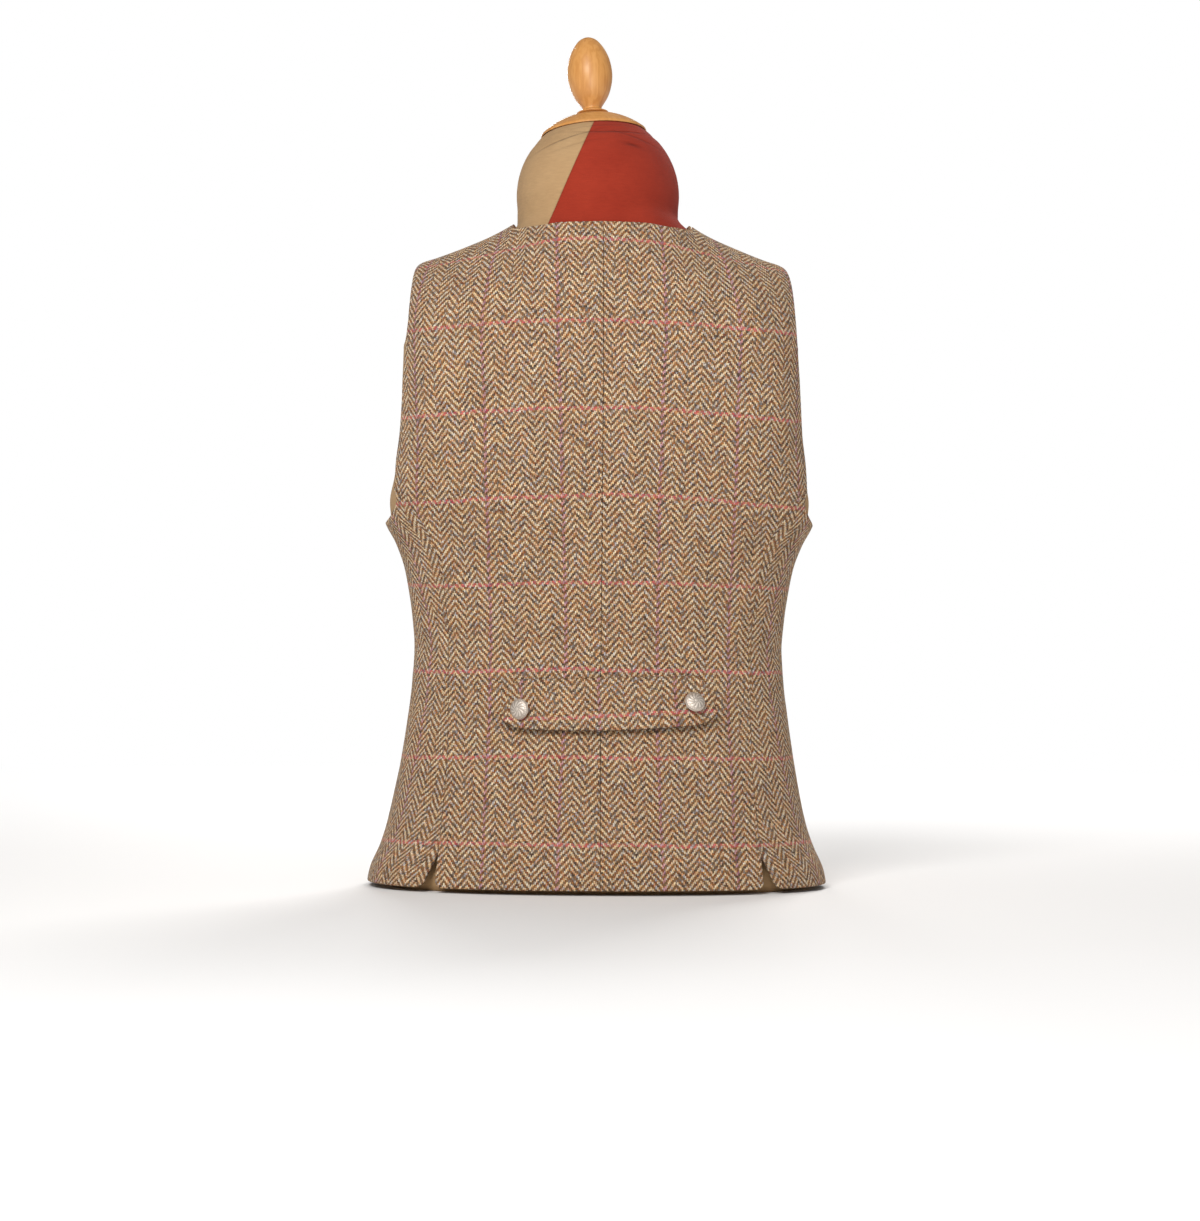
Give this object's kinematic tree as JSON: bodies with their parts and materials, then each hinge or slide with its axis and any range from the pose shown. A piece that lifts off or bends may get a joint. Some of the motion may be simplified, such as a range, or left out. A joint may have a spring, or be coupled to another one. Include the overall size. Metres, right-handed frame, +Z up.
{
  "type": "suit waistcoat on limbless dress form",
  "caption": "Fitted tweed waistcoat with a plain V neck, princess seams, slit back hem and buttoned half belt, worn by a limbless dress form with a wooden neck cap and finial.",
  "frame": {"origin": "on the surface that the form stands on, under the middle of the whole part", "axes": "+Z up, -Y out of the garment's buttoned front, +X towards its wearer's left"},
  "size_m": [0.3666, 0.2632, 0.6813],
  "materials": {
    "tweed": "woollen herringbone tweed, brown and oatmeal with a fine pink and lilac check",
    "form_cloth": "stretched plain linen, with one half of the neck in brick red",
    "wood": "turned pale wood under satin varnish",
    "pewter": "worn pewter with a fine raised pattern"
  },
  "bodies": {
    "root": {"back_left": "tweed", "back_right": "tweed", "side_back_left": "tweed", "side_back_right": "tweed", "side_front_left": "tweed", "side_front_right": "tweed", "front_left": "tweed", "front_right": "tweed", "back_belt": "tweed", "belt_button_left": "pewter", "belt_button_right": "pewter", "front_button_1": "pewter", "front_button_2": "pewter", "front_button_3": "pewter", "front_button_4": "pewter", "front_button_5": "pewter", "form_body": "form_cloth", "form_cap": "wood", "form_finial": "wood"}
  },
  "joints": []
}
